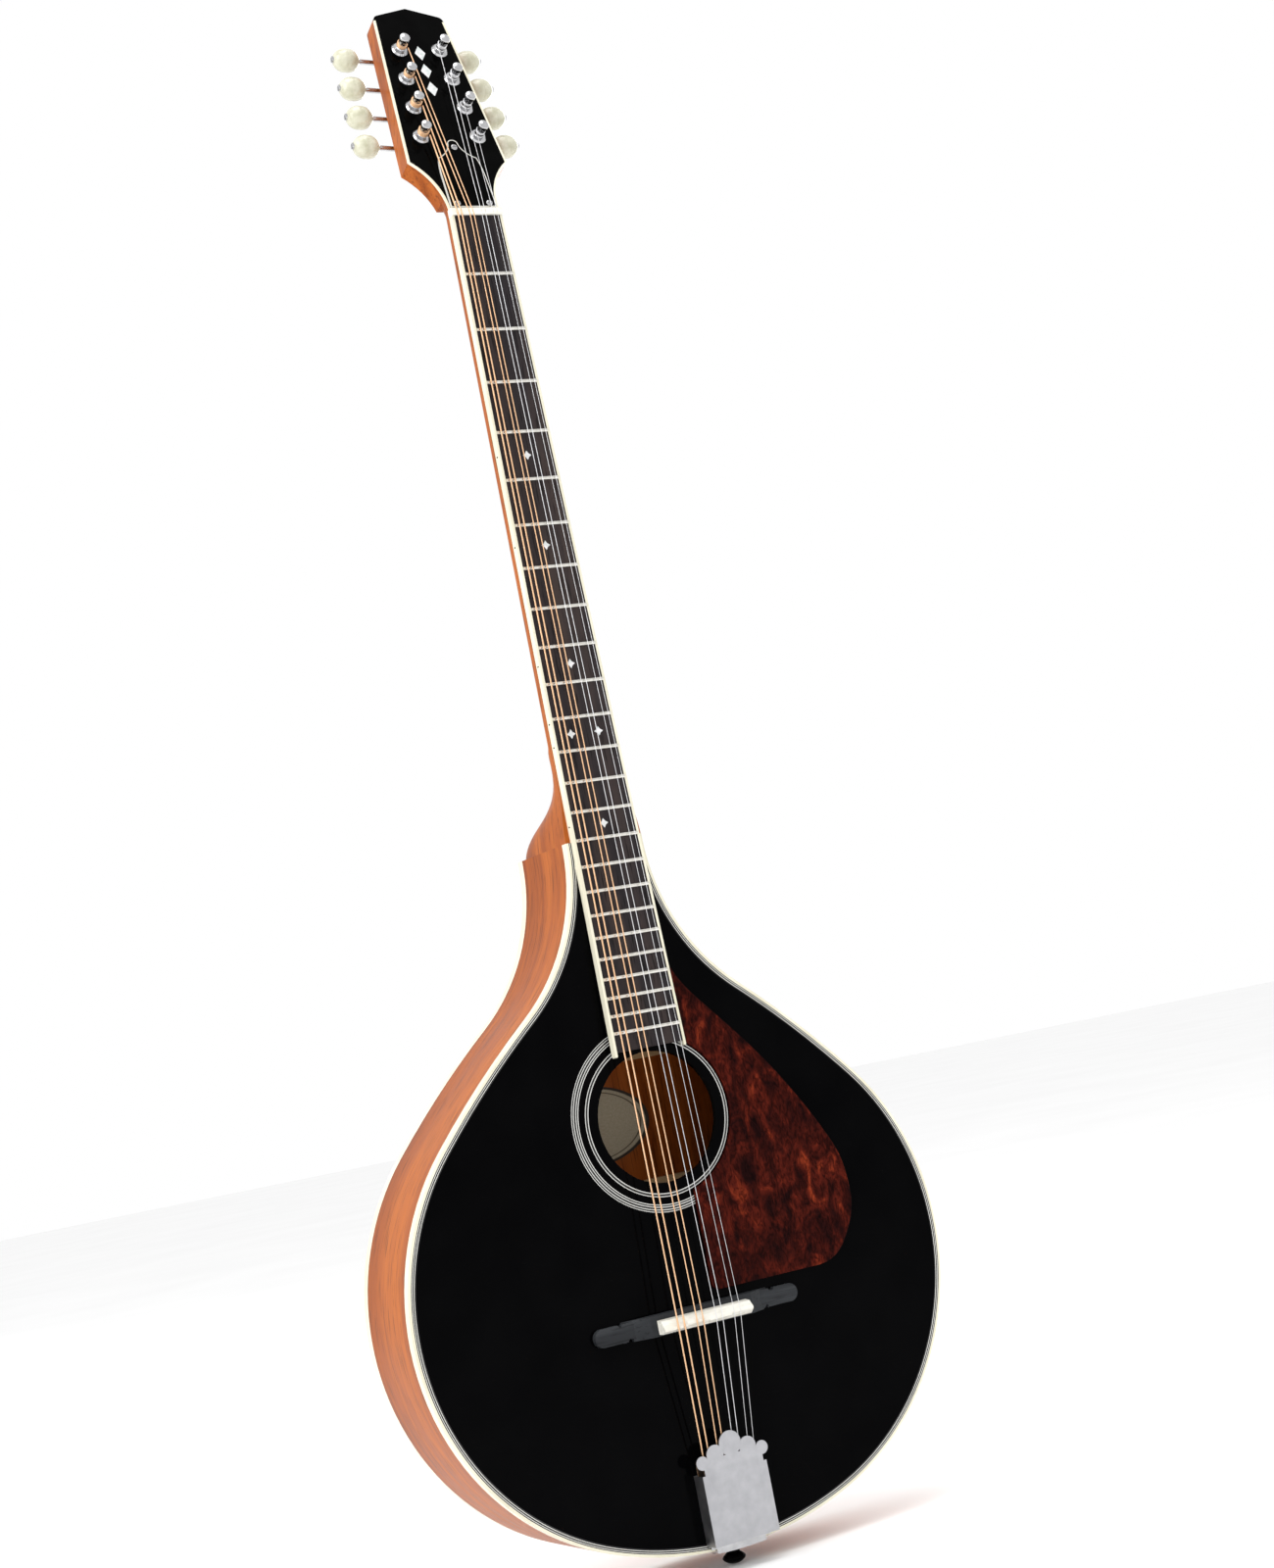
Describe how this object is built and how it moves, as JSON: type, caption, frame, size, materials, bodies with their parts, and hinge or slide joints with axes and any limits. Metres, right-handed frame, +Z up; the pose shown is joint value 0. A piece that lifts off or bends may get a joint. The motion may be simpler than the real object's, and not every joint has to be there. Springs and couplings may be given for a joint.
{
  "type": "bouzouki",
  "caption": "Flat-backed teardrop-bodied long-neck lute with paired steel and bronze strings, geared tuners, floating bridge and sliding tailpiece cover.",
  "frame": {"origin": "middle of the neck at the nut, between the arms of a wall hanger's fork", "axes": "+Z up along the neck towards the headstock, +X to the right as seen from the front (treble side), -Y out of the soundboard"},
  "size_m": [0.3436, 0.0895, 0.9616],
  "materials": {
    "gloss_black_top": "black gloss lacquer over spruce",
    "mahogany": "satin",
    "spruce": "raw",
    "cream_binding": "polished",
    "line_purfling": "polished",
    "label_paper": "matte",
    "tortoise": "polished",
    "rod_steel": "satin",
    "black_veneer": "polished",
    "pearl": "polished",
    "rosewood": "open pored satin",
    "ebony": "satin",
    "fret_nickel": "polished",
    "bone": "polished",
    "nickel": "polished",
    "bronze_string": "wound",
    "steel_string": "bright",
    "pearloid": "pearly"
  },
  "bodies": {
    "body": {"back_binding": "cream_binding", "back_plate": "mahogany", "braces": "spruce", "bridge_base": "ebony", "bridge_saddle": "bone", "end_pin": "black_veneer", "fretboard": "rosewood", "fretboard_binding": "cream_binding", "frets": "fret_nickel", "headstock_binding": "cream_binding", "headstock_veneer": "black_veneer", "label": "label_paper", "linings": "spruce", "neck": "mahogany", "neck_block": "mahogany", "nut": "bone", "pearl_inlays": "pearl", "pickguard": "tortoise", "plain_strings": "steel_string", "post_bushings": "nickel", "rosette": "line_purfling", "side_dots": "black_veneer", "side_left": "mahogany", "side_right": "mahogany", "soundboard": "gloss_black_top", "tail_block": "spruce", "tailpiece_base": "nickel", "top_binding": "cream_binding", "top_purfling": "line_purfling", "truss_cover": "black_veneer", "truss_rod": "rod_steel", "tuner_plates": "nickel", "wood_screws": "nickel", "wound_strings": "bronze_string"},
    "key_1": {"tuner_shaft_1": "nickel", "tuner_button_1": "pearloid"},
    "post_1": {"tuner_post_1": "nickel"},
    "key_2": {"tuner_shaft_2": "nickel", "tuner_button_2": "pearloid"},
    "post_2": {"tuner_post_2": "nickel"},
    "key_3": {"tuner_shaft_3": "nickel", "tuner_button_3": "pearloid"},
    "post_3": {"tuner_post_3": "nickel"},
    "key_4": {"tuner_shaft_4": "nickel", "tuner_button_4": "pearloid"},
    "post_4": {"tuner_post_4": "nickel"},
    "key_5": {"tuner_shaft_5": "nickel", "tuner_button_5": "pearloid"},
    "post_5": {"tuner_post_5": "nickel"},
    "key_6": {"tuner_shaft_6": "nickel", "tuner_button_6": "pearloid"},
    "post_6": {"tuner_post_6": "nickel"},
    "key_7": {"tuner_shaft_7": "nickel", "tuner_button_7": "pearloid"},
    "post_7": {"tuner_post_7": "nickel"},
    "key_8": {"tuner_shaft_8": "nickel", "tuner_button_8": "pearloid"},
    "post_8": {"tuner_post_8": "nickel"},
    "tail_cover": {"tailpiece_cover": "nickel"}
  },
  "joints": [
    {"name": "key_turn_1", "type": "hinge", "parent": "body", "child": "key_1", "pos_m": [-0.01855, 0.02548, 0.05744], "axis": [-0.9966, 0.0226, 0.0788], "range_deg": [-1260, 1260]},
    {"name": "post_turn_1", "type": "hinge", "parent": "body", "child": "post_1", "pos_m": [-0.019, 0.01993, 0.05332], "axis": [0, -0.9613, 0.2756], "range_deg": [-90.5, 90.5]},
    {"name": "key_turn_2", "type": "hinge", "parent": "body", "child": "key_2", "pos_m": [-0.0167, 0.03166, 0.079], "axis": [-0.9966, 0.0226, 0.0788], "range_deg": [-1260, 1260]},
    {"name": "post_turn_2", "type": "hinge", "parent": "body", "child": "post_2", "pos_m": [-0.01716, 0.02611, 0.07488], "axis": [0, -0.9613, 0.2756], "range_deg": [-90.5, 90.5]},
    {"name": "key_turn_3", "type": "hinge", "parent": "body", "child": "key_3", "pos_m": [-0.01486, 0.03784, 0.10056], "axis": [-0.9966, 0.0226, 0.0788], "range_deg": [-1260, 1260]},
    {"name": "post_turn_3", "type": "hinge", "parent": "body", "child": "post_3", "pos_m": [-0.01531, 0.03229, 0.09643], "axis": [0, -0.9613, 0.2756], "range_deg": [-90.5, 90.5]},
    {"name": "key_turn_4", "type": "hinge", "parent": "body", "child": "key_4", "pos_m": [-0.01302, 0.04402, 0.12211], "axis": [-0.9966, 0.0226, 0.0788], "range_deg": [-1260, 1260]},
    {"name": "post_turn_4", "type": "hinge", "parent": "body", "child": "post_4", "pos_m": [-0.01347, 0.03847, 0.11799], "axis": [0, -0.9613, 0.2756], "range_deg": [-90.5, 90.5]},
    {"name": "key_turn_5", "type": "hinge", "parent": "body", "child": "key_5", "pos_m": [0.01302, 0.04402, 0.12211], "axis": [0.9966, 0.0226, 0.0788], "range_deg": [-1260, 1260]},
    {"name": "post_turn_5", "type": "hinge", "parent": "body", "child": "post_5", "pos_m": [0.01347, 0.03847, 0.11799], "axis": [0, -0.9613, 0.2756], "range_deg": [-90.5, 90.5]},
    {"name": "key_turn_6", "type": "hinge", "parent": "body", "child": "key_6", "pos_m": [0.01486, 0.03784, 0.10056], "axis": [0.9966, 0.0226, 0.0788], "range_deg": [-1260, 1260]},
    {"name": "post_turn_6", "type": "hinge", "parent": "body", "child": "post_6", "pos_m": [0.01531, 0.03229, 0.09643], "axis": [0, -0.9613, 0.2756], "range_deg": [-90.5, 90.5]},
    {"name": "key_turn_7", "type": "hinge", "parent": "body", "child": "key_7", "pos_m": [0.0167, 0.03166, 0.079], "axis": [0.9966, 0.0226, 0.0788], "range_deg": [-1260, 1260]},
    {"name": "post_turn_7", "type": "hinge", "parent": "body", "child": "post_7", "pos_m": [0.01716, 0.02611, 0.07488], "axis": [0, -0.9613, 0.2756], "range_deg": [-90.5, 90.5]},
    {"name": "key_turn_8", "type": "hinge", "parent": "body", "child": "key_8", "pos_m": [0.01855, 0.02548, 0.05744], "axis": [0.9966, 0.0226, 0.0788], "range_deg": [-1260, 1260]},
    {"name": "post_turn_8", "type": "hinge", "parent": "body", "child": "post_8", "pos_m": [0.019, 0.01993, 0.05332], "axis": [0, -0.9613, 0.2756], "range_deg": [-90.5, 90.5]},
    {"name": "cover_slide", "type": "slide", "parent": "body", "child": "tail_cover", "axis": [0, 0, -1], "range_m": [0, 0.062]}
  ],
  "couplings": [
    {"joint": "post_turn_1", "follows": "key_turn_1", "ratio": 0.071429},
    {"joint": "post_turn_2", "follows": "key_turn_2", "ratio": 0.071429},
    {"joint": "post_turn_3", "follows": "key_turn_3", "ratio": 0.071429},
    {"joint": "post_turn_4", "follows": "key_turn_4", "ratio": 0.071429},
    {"joint": "post_turn_5", "follows": "key_turn_5", "ratio": 0.071429},
    {"joint": "post_turn_6", "follows": "key_turn_6", "ratio": 0.071429},
    {"joint": "post_turn_7", "follows": "key_turn_7", "ratio": 0.071429},
    {"joint": "post_turn_8", "follows": "key_turn_8", "ratio": 0.071429}
  ]
}
